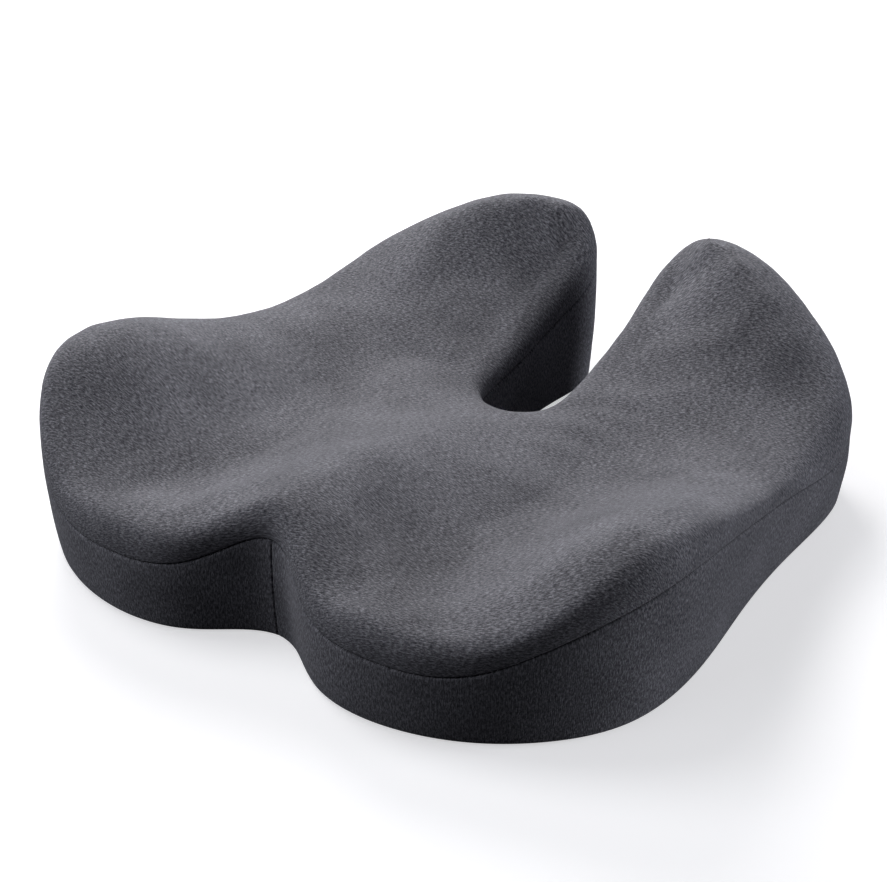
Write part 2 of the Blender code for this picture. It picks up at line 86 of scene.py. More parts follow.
CHANNEL = [(0.16 * W, -0.68 * D, 0.58 * H), (0.17 * W, -0.44 * D, 0.55 * H),
           (0.18 * W, -0.20 * D, 0.505 * H),
           (0.48 * W, -0.78 * D, 0.455 * H), (0.50 * W, -0.54 * D, 0.46 * H),
           (0.51 * W, -0.27 * D, 0.44 * H), (0.51 * W, 0.00 * D, 0.41 * H),
           (0.50 * W, 0.27 * D, 0.45 * H), (0.47 * W, 0.50 * D, 0.58 * H),
           (0.43 * W, 0.70 * D, 0.77 * H)]

# ---- the zip, as in the part
ZIP_Y = -0.040
ZIP_HALF = 0.165
ZIP_Z = 0.0060
WINDOW_HALF_X = 0.184
WINDOW_HALF_Y = 0.0120
SLIDER_X = 0.155
PIN_Z = 0.0017
PIN_R = 0.00045
PULL_LENGTH = 0.0220      # pin's middle to the tab's end
FOLD_COLUMNS = 47         # points along the fold at the zip's window

# ---- how the fabric is turned in at its seams
SEAM_GAP = 0.0003         # half the space between two sewn edges
JOIN_GAP = 0.0003
TURN_UNDER = 0.0035       # radius of the band's lower edge
BASE_Z = 0.0006           # underside cloth above the floor, the grip dots' height
BASE_SEAM = 0.0045        # underside seam, in from the floor outline
CLOTH_STEPS = 20          # frames of cloth simulation
FOAM_STOP = 0.0008        # deepest the cloth can press into the foam


# ---- the studio
MIDDLE = Vector((0.0, -0.005, 0.040))   # the point that the camera is set up round
CAMERA_DISTANCE = 1.2972
CAMERA_ROLL = math.radians(0.51)
LIGHT_DISTANCE = 2.0
LIGHT_AIM = Vector((0.0, 0.0, 0.06))


def linear(code):
    """sRGB hex colour to linear red, green and blue."""
    parts = [int(code[i:i + 2], 16) / 255 for i in (1, 3, 5)]
    return tuple(c / 12.92 if c <= 0.04045 else ((c + 0.055) / 1.055) ** 2.4 for c in parts)


def colour(name, description, code):
    return FloatVectorProperty(name=name, description=description, subtype="COLOR", size=3,
                               min=0.0, max=1.0, default=linear(code))


def length(name, description, default):
    return FloatProperty(name=name, description=description, default=default, min=0.0,
                         unit="LENGTH", subtype="DISTANCE", precision=4)


class CushionSizes(bpy.types.PropertyGroup):
    fabric: length("Fabric", "Thickness of the knit and the grip cloth", 0.0011)
    seam_turn: length("Seam turn", "Radius of the fabric where it turns in at a seam", 0.0015)
    swell: length("Swell", "Furthest that the stuffed fabric may stand out", 0.0030)
    mesh_step: length("Mesh step", "Spacing of the cover's mesh", 0.0045)
    stitch_pitch: length("Stitch pitch", "From one stitch to the next", 0.0034)
    stitch_length: length("Stitch length", "Length of one stitch", 0.0030)
    thread: length("Thread", "Thickness of the sewing thread", 0.0007)
    foam_inset: length("Foam inset", "Foam surface in from the cover's surface", 0.0034)
    dot_width: length("Dot width", "Width of one grip dot", 0.0036)
    dot_pitch: length("Dot pitch", "From one grip dot to the next", 0.0105)
    coil_pitch: length("Coil pitch", "From one zip tooth to the next", 0.0016)


class CushionColours(bpy.types.PropertyGroup):
    yarn_light: colour("Light yarn", "Light yarn of the heather knit", "#96969e")
    yarn_mid: colour("Middle yarn", "Middle tone of the heather knit", "#626268")
    yarn_dark: colour("Dark yarn", "Dark yarn of the heather knit", "#34343a")
    grip_cloth: colour("Grip cloth", "Woven cloth of the underside", "#232326")
    grip_dot: colour("Grip dots", "Silicone dots of the underside", "#15151a")
    foam: colour("Foam", "Moulded memory foam", "#e8e3cf")
    stitching: colour("Stitching", "Sewing thread", "#1e1e22")
    zip_tape: colour("Zip tape", "Woven tape of the zip", "#1b1b1e")
    coil: colour("Coil", "Nylon coil of the zip", "#202022")
    enamel: colour("Enamel", "Enamel of the slider and pull", "#1a1a1c")
    floor: colour("Floor", "Studio floor", "#d8d8da")


# ---------------------------------------------------------------- form

def spline(knots, values, at, periodic=False):
    """Cubic spline through values at knots: periodic, or with free ends."""
    knots, values = np.asarray(knots, float), np.asarray(values, float)
    count = len(knots)
    step = np.diff(knots)
    slope = np.diff(values, axis=0) / step[:, None]
    matrix = np.eye(count)
    right = np.zeros_like(values)
    for i in range(1, count - 1):
        matrix[i, i - 1:i + 2] = step[i - 1], 2 * (step[i - 1] + step[i]), step[i]
        right[i] = 6 * (slope[i] - slope[i - 1])
    if periodic:
        matrix[0] = 0.0
        matrix[0, [0, 1, -2]] = 2 * (step[-1] + step[0]), step[0], step[-1]
        right[0] = 6 * (slope[0] - slope[-1])
        matrix[-1, 0] = -1.0
    curve = np.linalg.solve(matrix, right)
    k = np.clip(np.searchsorted(knots, at, side="right") - 1, 0, count - 2)
    a = (knots[k + 1] - at)[:, None]
    b = (at - knots[k])[:, None]
    h = step[k][:, None]
    return (curve[k] * a ** 3 / (6 * h) + curve[k + 1] * b ** 3 / (6 * h)
            + (values[k] / h - curve[k] * h / 6) * a
            + (values[k + 1] / h - curve[k + 1] * h / 6) * b)


class Form:
    """Outer surface of the finished cushion, as rings round the outline."""

    def __init__(self, step, fine=()):
        rows = np.array(STATIONS)
        mirror = rows[-2:0:-1] * MIRROR
        ring = np.vstack([rows, mirror, rows[:1]])
        chord = np.linalg.norm(np.diff(ring[:, :2], axis=0), axis=1)
        knots = np.concatenate([[0.0], np.cumsum(np.sqrt(chord))])
        dense_at = np.linspace(0.0, knots[len(rows) - 1], 2400)
        dense = spline(knots, ring, dense_at, periodic=True)
        run = np.linalg.norm(np.diff(dense[:, :2], axis=0), axis=1)
        along = np.concatenate([[0.0], np.cumsum(run)])
        marks = np.linspace(0.0, along[-1], round(along[-1] / step) + 1)
        ends = [side for f in fine for side in (f, along[-1] - f)]
        self.marks = np.unique(np.concatenate([marks, ends]))
        at = np.interp(self.marks, along, dense_at)
        half = spline(knots, ring, at, periodic=True)
        tangent = np.gradient(dense[:, :2], dense_at, axis=0)
        normals = np.column_stack([tangent[:, 1], -tangent[:, 0]])
        normals /= np.linalg.norm(normals, axis=1)[:, None]
        edge = dense[:, 1] + normals[:, 1] * dense[:, 4]
        normal = np.column_stack([np.interp(at, dense_at, normals[:, i]) for i in (0, 1)])
        normal[[0, -1], 0] = 0.0
        half[[0, -1], 0] = 0.0
        half[:, 1] -= (edge.max() + edge.min()) / 2
        normal /= np.linalg.norm(normal, axis=1)[:, None]
        self.half_count = len(half)
        self.rows = np.vstack([half, half[-2:0:-1] * MIRROR])
        self.normal = np.vstack([normal, normal[-2:0:-1] * [-1, 1]])
        ahead = np.roll(self.rows[:, :3], -1, axis=0)
        behind = np.roll(self.rows[:, :3], 1, axis=0)
        flat = np.linalg.norm((ahead - behind)[:, :2], axis=1)
        self.steep = np.sqrt(1.0 + ((ahead - behind)[:, 2] / flat) ** 2)

    def wall(self, z, inset=0.0):
        """Ring on the side wall at height z (one value or one per step)."""
        z = np.broadcast_to(z, len(self.rows))
        share = z / self.rows[:, 2]
        out = self.rows[:, 4] * share + WALL_BULGE * 4 * share * (1 - share) - inset
        return np.column_stack([self.rows[:, :2] + self.normal * out[:, None], z])

    def shoulder(self, angle, lift):
        """Ring on the rounded shoulder: 0 is the seam, a right angle is the crest."""
        seam, crest, inward = self.rows[:, 2] + lift, self.rows[:, 3], self.rows[:, 5]
        power = 2.0 / self.rows[:, 6]
        out = self.rows[:, 4] - inward * (1 - max(math.cos(angle), 0.0) ** power)
        return np.column_stack([self.rows[:, :2] + self.normal * out[:, None],
                                seam + (crest - seam) * math.sin(angle) ** power])

    def sheet(self, crest, spots):
        """Height of the top: a thin plate through the crest, the ridge and the channels."""
        every = max(1, round(len(crest) / 108))
        rim = crest[::every]
        shelf = rim - np.column_stack([self.normal[::every] * 0.007, np.full(len(rim), -0.0006)])
        held = [tuple(p) for p in rim[::2]] + [tuple(p) for p in shelf[1::2]]
        held += [(0.0, y, z) for y, z in RIDGE]
        held += [(side * x, y, z) for x, y, z in CHANNEL for side in (-1, 1)]
        held = np.array(held)
        count = len(held)
        plane = np.column_stack([np.ones(count), held[:, :2]])
        matrix = np.zeros((count + 3, count + 3))
        matrix[:count, :count] = plate(held[:, :2], held[:, :2])
        matrix[:count, count:] = plane
        matrix[count:, :count] = plane.T
        weight = np.linalg.solve(matrix, np.concatenate([held[:, 2], np.zeros(3)]))
        return (plate(spots, held[:, :2]) @ weight[:count]
                + np.column_stack([np.ones(len(spots)), spots]) @ weight[count:])


def plate(first, second):
    square = ((first[:, None] - second[None]) ** 2).sum(axis=2)
    return square * np.log(np.maximum(square, 1e-12))


def within(spots, ring, margin):
    """Which spots are inside the ring and at least the margin from its edge."""
    a, b = ring[:, :2], np.roll(ring[:, :2], -1, axis=0)
    edge = b - a
    keep = []
    for spot in spots:
        share = np.clip(((spot - a) * edge).sum(axis=1) / (edge ** 2).sum(axis=1), 0, 1)
        nearest = np.linalg.norm(spot - a - share[:, None] * edge, axis=1).min()
        above = (a[:, 1] > spot[1]) != (b[:, 1] > spot[1])
        cross = a[:, 0] + (spot[1] - a[:, 1]) * edge[:, 0] / np.where(above, edge[:, 1], 1.0)
        keep.append((above & (spot[0] < cross)).sum() % 2 == 1 and nearest > margin)
    return np.array(keep)


def lattice(step):
    """Even triangular lattice over the cushion's plan, mirror-equal about x = 0."""
    across = int(0.25 / step) + 1
    column = np.arange(-2 * across, 2 * across + 1) * step / 2
    row = np.arange(-across - 8, across + 9) * step * 0.87
    return np.array([(x, y) for j, y in enumerate(row) for x in column[j % 2::2]])


def filled(ring, spots):
    """Triangles over the ring's plan and the spots inside it, facing up."""
    plan = np.vstack([ring[:, :2], spots])
    fill = delaunay_2d_cdt([Vector(p) for p in plan], [], [list(range(len(ring)))], 1, 1e-7)
    source = [ids[0] for ids in fill[3]]
    faces = []
    for face in fill[2]:
        a, b, c = [source[i] for i in face]
        u, v = plan[b] - plan[a], plan[c] - plan[a]
        faces.append((a, b, c) if u[0] * v[1] > u[1] * v[0] else (a, c, b))
    return faces


def strips(rows, columns, closed):
    """Quads of a grid of points, row by row, turned outward for a rising grid."""
    span = columns if closed else columns - 1
    return [(j * columns + i, j * columns + (i + 1) % columns,
             (j + 1) * columns + (i + 1) % columns, (j + 1) * columns + i)
            for j in range(rows - 1) for i in range(span)]


# ---------------------------------------------------------------- making pieces

def mesh_piece(name, verts, faces, layout=None):
    """New mesh object; layout gives each point's place on the flat fabric, in metres."""
    mesh = bpy.data.meshes.new(name)
    mesh.from_pydata(np.asarray(verts).tolist(), [], faces)
    if layout is not None:
        corner = np.empty(len(mesh.loops), int)
        mesh.loops.foreach_get("vertex_index", corner)
        flat = mesh.uv_layers.new(name="Fabric")
        flat.data.foreach_set("uv", np.asarray(layout, float)[corner].ravel())
    mesh.update()
    obj = bpy.data.objects.new(name, mesh)
    bpy.context.scene.collection.objects.link(obj)
    return obj


def only(obj):
    """Make obj the one selected and active object."""
    bpy.ops.object.select_all(action="DESELECT")
    obj.select_set(True)
    bpy.context.view_layer.objects.active = obj


def modify(obj, kind, **settings):
    only(obj)
    mod = obj.modifiers.new(kind.title(), kind)
    for key, value in settings.items():
        setattr(mod, key, value)
    bpy.ops.object.modifier_apply(modifier=mod.name)


def smooth(obj, angle=None):
    only(obj)
    if angle is None:
        bpy.ops.object.shade_smooth()
    else:
        bpy.ops.object.shade_smooth_by_angle(angle=math.radians(angle))


def block(low, high):
    """Box between two corners, its place in its mesh."""
    bpy.ops.object.select_all(action="DESELECT")
    low, high = Vector(low), Vector(high)
    bpy.ops.mesh.primitive_cube_add(size=1.0, location=(low + high) / 2)
    obj = bpy.context.object
    obj.scale = high - low
    bpy.ops.object.transform_apply(location=True, rotation=True, scale=True)
    return obj


def divided_block(low, high, cuts):
    """Box between two corners, with each edge cut evenly."""
    obj = block(low, high)
    bpy.ops.object.mode_set(mode="EDIT")
    bpy.ops.mesh.select_all(action="SELECT")
    bpy.ops.mesh.subdivide(number_cuts=cuts)
    bpy.ops.object.mode_set(mode="OBJECT")
    return obj


def rod(start, end, radius, sides=16):
    bpy.ops.object.select_all(action="DESELECT")
    start, end = Vector(start), Vector(end)
    turn = (end - start).to_track_quat("Z", "Y").to_euler()
    bpy.ops.mesh.primitive_cylinder_add(vertices=sides, radius=radius, rotation=turn,
                                        depth=(end - start).length, location=(start + end) / 2)
    obj = bpy.context.object
    bpy.ops.object.transform_apply(location=True, rotation=True, scale=True)
    return obj


def combine(obj, others, operation="UNION"):
    for other in others:
        modify(obj, "BOOLEAN", object=other, operation=operation, solver="EXACT")
        bpy.data.objects.remove(other)
    return obj


def repeat(name, pattern, places):
    """Copies of the pattern piece at each place, as one mesh.  The pattern is used up."""
    count = len(pattern.data.vertices)
    points = np.empty(count * 3)
    pattern.data.vertices.foreach_get("co", points)
    points = np.column_stack([points.reshape(-1, 3), np.ones(count)])
    faces = [tuple(p.vertices) for p in pattern.data.polygons]
    verts = np.vstack([(points @ np.array(place).T)[:, :3] for place in places])
    every = [tuple(i + k * count for i in face) for k in range(len(places)) for face in faces]
    bpy.data.objects.remove(pattern)
    return mesh_piece(name, verts, every)


def finish_piece(obj, name, mat, body, replaced=()):
    """Name the piece, give it its material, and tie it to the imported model."""
    obj.name = name
    obj.data.name = name
    obj.data.materials.clear()
    obj.data.materials.append(mat)
    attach(obj, body)
    if replaced:
        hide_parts(*replaced)
    return obj


def stuffed(obj, sewn, outward, pressure):
    """Swell sewn fabric with a cloth simulation, its sewn points held.  The foam stops it
    from sinking further than FOAM_STOP, and outward bounds how far it may stand out."""
    mesh = obj.data
    rest = np.empty(len(mesh.vertices) * 3)
    mesh.vertices.foreach_get("co", rest)
    rest = rest.reshape(-1, 3)
    normals = np.empty(len(mesh.vertices) * 3)
    mesh.vertex_normals.foreach_get("vector", normals)
    normals = normals.reshape(-1, 3)
    held = obj.vertex_groups.new(name="sewn")
    held.add([int(i) for i in sewn], 1.0, "REPLACE")
    mod = obj.modifiers.new("Cloth", "CLOTH")
    cloth = mod.settings
    cloth.vertex_group_mass = "sewn"
    cloth.quality = 6
    cloth.mass = 0.25
    cloth.tension_stiffness = 18.0
    cloth.compression_stiffness = 18.0
    cloth.shear_stiffness = 6.0
    cloth.bending_stiffness = 0.8
    cloth.use_pressure = True
    cloth.uniform_pressure_force = pressure
    cloth.effector_weights.gravity = 0.0
    mod.point_cache.frame_start = 1
    mod.point_cache.frame_end = CLOTH_STEPS
    for step in range(1, CLOTH_STEPS + 1):
        bpy.context.scene.frame_set(step)
    only(obj)
    bpy.ops.object.modifier_apply(modifier=mod.name)
    bpy.context.scene.frame_set(1)
    obj.vertex_groups.clear()
    now = np.empty(len(mesh.vertices) * 3)
    obj.data.vertices.foreach_get("co", now)
    move = now.reshape(-1, 3) - rest
    lift = (move * normals).sum(axis=1)
    move += normals * (np.clip(lift, -FOAM_STOP, outward) - lift)[:, None]
    obj.data.vertices.foreach_set("co", (rest + move).ravel())
    obj.data.update()


def uneven(obj, free, height, reach, seed):
    """Lift and lower the fabric a little, as soft foam under a knit does."""
    count = len(obj.data.vertices)
    points, normals = np.empty(count * 3), np.empty(count * 3)
    obj.data.vertices.foreach_get("co", points)
    obj.data.vertex_normals.foreach_get("vector", normals)
    points, normals = points.reshape(-1, 3), normals.reshape(-1, 3)
    lift = [noise.noise(Vector(p) / reach + Vector((seed, 0.0, 0.0))) for p in points]
    points += normals * (height * free * np.array(lift))[:, None]
    obj.data.vertices.foreach_set("co", points.ravel())
    obj.data.update()


# ---------------------------------------------------------------- materials

def add(tree, kind, values=None, links=None, ramp=None, **settings):
    """Add a node: its settings, its inputs' values, and links into its inputs."""
    new = tree.nodes.new(kind)
    for key, value in settings.items():
        setattr(new, key, value)
    for key, value in (values or {}).items():
        new.inputs[key].default_value = value
    for key, source in (links or {}).items():
        tree.links.new(source, new.inputs[key])
    if ramp:
        stops = new.color_ramp.elements
        while len(stops) < len(ramp):
            stops.new(0.5)
        for stop, (place, tone) in zip(stops, ramp):
            stop.position = place
            stop.color = (*tone, 1.0)
    return new


def surface(name, roughness, **constants):
    """New material with a Principled shader.  Returns the material, its tree and shader."""
    mat = bpy.data.materials.new(name)
    mat.use_nodes = True
    tree = mat.node_tree
    shader = tree.nodes["Principled BSDF"]
    shader.inputs["Roughness"].default_value = roughness
    for key, value in constants.items():
        shader.inputs[key.replace("_", " ")].default_value = value
    return mat, tree, shader


def heather_knit(name, light, mid, dark, turn):
    """Heather polyester jersey: short streaks of light and dark yarn along the grain,
    over fine V-shaped loops.  Matt, with a soft bloom of fibre ends at grazing angles."""
    mat, tree, shader = surface(name, 0.92, Sheen_Weight=0.22, Sheen_Roughness=0.45,
                                Specular_IOR_Level=0.25)
    shader.inputs["Sheen Tint"].default_value = (*linear("#c9c9d2"), 1.0)
    flat = add(tree, "ShaderNodeTexCoord").outputs["UV"]
    # fabric layout in millimetres, turned so that x runs along the grain
    grain = add(tree, "ShaderNodeMapping", {"Scale": (1000.0, 1000.0, 1000.0),
                "Rotation": (0.0, 0.0, math.radians(turn))}, {"Vector": flat}).outputs[0]
    # yarn streaks 3.5 mm long and 0.9 mm wide
    long = add(tree, "ShaderNodeMapping", {"Scale": (1 / 3.5, 1 / 0.9, 1.0)}, {"Vector": grain})
    streak = add(tree, "ShaderNodeTexNoise", {"Scale": 1.0, "Detail": 2.0, "Roughness": 0.65},
                 {"Vector": long.outputs[0]}, noise_dimensions="2D")
    # single fibres and flecks, 1.8 by 0.7 mm
    short = add(tree, "ShaderNodeMapping", {"Scale": (1 / 1.8, 1 / 0.7, 1.0)}, {"Vector": grain})
    fleck = add(tree, "ShaderNodeTexNoise", {"Scale": 1.0, "Detail": 3.0, "Roughness": 0.7},
                {"Vector": short.outputs[0]}, noise_dimensions="2D")
    # dyeing and pile lie change slowly, over about 45 mm
    cloudy = add(tree, "ShaderNodeTexNoise", {"Scale": 1 / 45.0, "Detail": 2.0},
                 {"Vector": grain}, noise_dimensions="2D")
    both = add(tree, "ShaderNodeMix", {0: 0.5}, {2: streak.outputs[0], 3: fleck.outputs[0]})
    slow = add(tree, "ShaderNodeMath", {1: 0.10, 2: -0.05}, {0: cloudy.outputs[0]},
               operation="MULTIPLY_ADD")
    level = add(tree, "ShaderNodeMath", {}, {0: both.outputs[0], 1: slow.outputs[0]})
    yarn = add(tree, "ShaderNodeValToRGB", {}, {"Fac": level.outputs[0]},
               ramp=[(0.34, dark), (0.50, mid), (0.66, light)])
    tree.links.new(yarn.outputs[0], shader.inputs["Base Color"])
    # loops: columns 1.1 mm apart across the grain, courses 0.9 mm apart along it
    axes = add(tree, "ShaderNodeSeparateXYZ", {}, {0: grain})
    wale = add(tree, "ShaderNodeMath", {1: 1.1}, {0: axes.outputs[1]}, operation="PINGPONG")
    slant = add(tree, "ShaderNodeMath", {1: 0.8}, {0: wale.outputs[0], 2: axes.outputs[0]},
                operation="MULTIPLY_ADD")
    course = add(tree, "ShaderNodeMath", {1: 2 * math.pi / 0.9}, {0: slant.outputs[0]},
                 operation="MULTIPLY")
    loop = add(tree, "ShaderNodeMath", {}, {0: course.outputs[0]}, operation="SINE")
    rib = add(tree, "ShaderNodeMath", {1: 2 * math.pi / 1.1}, {0: axes.outputs[1]},
              operation="MULTIPLY")
    column = add(tree, "ShaderNodeMath", {}, {0: rib.outputs[0]}, operation="SINE")
    loops = add(tree, "ShaderNodeMath", {1: 0.6}, {0: loop.outputs[0], 2: column.outputs[0]},
                operation="MULTIPLY_ADD")
    height = add(tree, "ShaderNodeMath", {1: 0.12}, {0: loops.outputs[0], 2: both.outputs[0]},
                 operation="MULTIPLY_ADD")
    bump = add(tree, "ShaderNodeBump", {"Strength": 0.4, "Distance": 0.0005},
               {"Height": height.outputs[0]})
    tree.links.new(bump.outputs[0], shader.inputs["Normal"])
    return mat


def woven(name, tone, thread_mm, roughness=0.85, depth=0.0002):
    """Plain-woven polyester: a fine over-and-under basket with slightly uneven threads."""
    mat, tree, shader = surface(name, roughness, Sheen_Weight=0.1, Sheen_Roughness=0.5)
    place = add(tree, "ShaderNodeTexCoord").outputs["Object"]
    scaled = add(tree, "ShaderNodeMapping", {"Scale": (1000.0, 1000.0, 1000.0)}, {"Vector": place})
    axes = add(tree, "ShaderNodeSeparateXYZ", {}, {0: scaled.outputs[0]})
    waves = []
    for axis in (0, 1):
        turn = add(tree, "ShaderNodeMath", {1: math.pi / thread_mm}, {0: axes.outputs[axis]},
                   operation="MULTIPLY")
        waves.append(add(tree, "ShaderNodeMath", {}, {0: turn.outputs[0]}, operation="SINE"))
    basket = add(tree, "ShaderNodeMath", {}, {0: waves[0].outputs[0], 1: waves[1].outputs[0]},
                 operation="MULTIPLY")
    fibre = add(tree, "ShaderNodeTexNoise", {"Scale": 1.4, "Detail": 3.0},
                {"Vector": scaled.outputs[0]})
    mixed = add(tree, "ShaderNodeMath", {1: 0.5}, {0: basket.outputs[0], 2: fibre.outputs[0]},
                operation="MULTIPLY_ADD")
    low = tuple(c * 0.6 for c in tone)
    high = tuple(min(1.0, c * 1.5 + 0.003) for c in tone)
    shade = add(tree, "ShaderNodeValToRGB", {}, {"Fac": mixed.outputs[0]},
                ramp=[(0.1, low), (0.9, high)])
    tree.links.new(shade.outputs[0], shader.inputs["Base Color"])
    bump = add(tree, "ShaderNodeBump", {"Strength": 0.6, "Distance": depth},
               {"Height": mixed.outputs[0]})
    tree.links.new(bump.outputs[0], shader.inputs["Normal"])
    return mat


def speckled(name, tone, grain_mm, spread, roughness, depth, **constants):
    """Moulded or coated surface: an even tone with fine grain in colour, gloss and relief."""
    mat, tree, shader = surface(name, roughness, **constants)
    place = add(tree, "ShaderNodeTexCoord").outputs["Object"]
    grain = add(tree, "ShaderNodeTexNoise", {"Scale": 1000.0 / grain_mm, "Detail": 4.0},
                {"Vector": place})
    low = tuple(c * (1 - spread) for c in tone)
    high = tuple(min(1.0, c * (1 + spread)) for c in tone)
    shade = add(tree, "ShaderNodeValToRGB", {}, {"Fac": grain.outputs[0]},
                ramp=[(0.3, low), (0.7, high)])
    gloss = add(tree, "ShaderNodeMapRange", {3: roughness * 0.85, 4: min(1.0, roughness * 1.2)},
                {0: grain.outputs[0]})
    bump = add(tree, "ShaderNodeBump", {"Strength": 0.5, "Distance": depth},
               {"Height": grain.outputs[0]})
    tree.links.new(shade.outputs[0], shader.inputs["Base Color"])
    tree.links.new(gloss.outputs[0], shader.inputs["Roughness"])
    tree.links.new(bump.outputs[0], shader.inputs["Normal"])
    return mat


def once(name, maker, *details, **more):
    """The material of that name, made the first time it is asked for."""
    return bpy.data.materials.get(name) or maker(name, *details, **more)


def thread_material(colours):
    # spun polyester sewing thread: dull, with fibre-fine unevenness
    return once("spun polyester thread", speckled, colours.stitching, 0.5, 0.35, 0.8, 0.0001,
                Sheen_Weight=0.15)


# ---------------------------------------------------------------- pieces

class CUSHION_OT_foam_core(bpy.types.Operator):
    """Mould the foam core inside the cover"""
    bl_idname = "cushion.foam_core"
    bl_label = "Foam core"

    def execute(self, context):
        sizes, colours = context.scene.cushion_sizes, context.scene.cushion_colours
        form = Form(2.2 * sizes.mesh_step)
        rings = [form.wall(0.0, 0.003), form.wall(0.003)]
        rings += [form.wall(form.rows[:, 2] * share) for share in (0.25, 0.5, 0.75)]
        rings += [form.shoulder(a, 0.0) for a in np.linspace(0, math.pi / 2, 7)]
        crest = rings[-1]
        spots = lattice(2.2 * sizes.mesh_step)
        spots = spots[within(spots, crest, sizes.mesh_step)]
        count = len(crest)
        verts = np.vstack([*rings, np.column_stack([spots, form.sheet(crest, spots)])])
        faces = strips(len(rings), count, True)
        first = (len(rings) - 1) * count
        faces += [tuple(first + i for i in face) for face in filled(crest, spots)]
        faces += [face[::-1] for face in filled(rings[0], np.empty((0, 2)))]
        obj = mesh_piece("foam", verts, faces)
        work = bmesh.new()
        work.from_mesh(obj.data)
        work.normal_update()
        moves = [(v, v.normal * sizes.foam_inset) for v in work.verts]
        for vert, move in moves:
            vert.co -= move
        work.to_mesh(obj.data)
        work.free()
        reach_x, reach_y = WINDOW_HALF_X + 0.004, WINDOW_HALF_Y + 0.003
        channel = block((-reach_x, ZIP_Y - reach_y, -0.01), (reach_x, ZIP_Y + reach_y, 0.0098))
        combine(obj, [channel], "DIFFERENCE")
        smooth(obj, 40)
        # moulded memory foam: pale, open-celled skin with cells of about 0.8 mm
        foam = once("moulded memory foam", speckled, colours.foam, 0.8, 0.12, 0.95, 0.0004,
                    Subsurface_Weight=0.1)
        finish_piece(obj, "foam_core_visual", foam, "cushion", ["foam_core"])
        return {"FINISHED"}


class CUSHION_OT_top_cover(bpy.types.Operator):
    """Sew the knit top panel, stuffed tight over the foam"""
    bl_idname = "cushion.top_cover"
    bl_label = "Top cover"

    def execute(self, context):
        sizes, colours = context.scene.cushion_sizes, context.scene.cushion_colours
        form = Form(sizes.mesh_step)
        turn = sizes.seam_turn
        seam, lean = form.rows[:, 2], form.rows[:, 4]
        base = form.rows[:, :2]
        rings = []
        for angle, more in ((90, 0.0012), (90, 0.0), (60, 0.0), (30, 0.0)):
            tuck = turn * (1 - math.cos(math.radians(angle))) + more
            drop = (SEAM_GAP + turn * (1 - math.sin(math.radians(angle)))) * form.steep
            rings.append(np.column_stack([base + form.normal * (lean - tuck)[:, None],
                                          seam + drop]))
        lift = (SEAM_GAP + turn) * form.steep
        rings += [form.shoulder(a, lift) for a in np.linspace(0, math.pi / 2, 11)]
        crest = rings[-1]
        spots = lattice(sizes.mesh_step)
        spots = spots[within(spots, crest, 0.55 * sizes.mesh_step)]
        count = len(crest)
        verts = np.vstack([*rings, np.column_stack([spots, form.sheet(crest, spots)])])
        faces = strips(len(rings), count, True)
        first = (len(rings) - 1) * count
        faces += [tuple(first + i for i in face) for face in filled(crest, spots)]
        # the flat pattern: the plan inside the crest, unrolled outward beyond it
        layout = [crest[:, :2]]
        for k in range(len(rings) - 2, -1, -1):
            gap = np.linalg.norm(rings[k] - rings[k + 1], axis=1)[:, None]
            layout.insert(0, layout[0] + form.normal * gap)
        layout = np.vstack([*layout, spots])
        obj = mesh_piece("top", verts, faces, layout)
        stuffed(obj, range(5 * count), sizes.swell, 0.35)
        height = verts[:, 2] - np.concatenate([np.tile(seam, len(rings)), np.full(len(spots), 0.0)])
        free = np.clip(height / 0.012, 0.0, 1.0)
        uneven(obj, free, 0.0009, 0.040, 3.0)
        uneven(obj, free, 0.0004, 0.014, 9.0)
        modify(obj, "SOLIDIFY", thickness=sizes.fabric, offset=-1.0)
        smooth(obj)
        knit = once("charcoal heather jersey, top", heather_knit, colours.yarn_light,
                    colours.yarn_mid, colours.yarn_dark, -14.0)
        finish_piece(obj, "knit_top_panel", knit, "cushion", ["cover_top_panel"])
        return {"FINISHED"}


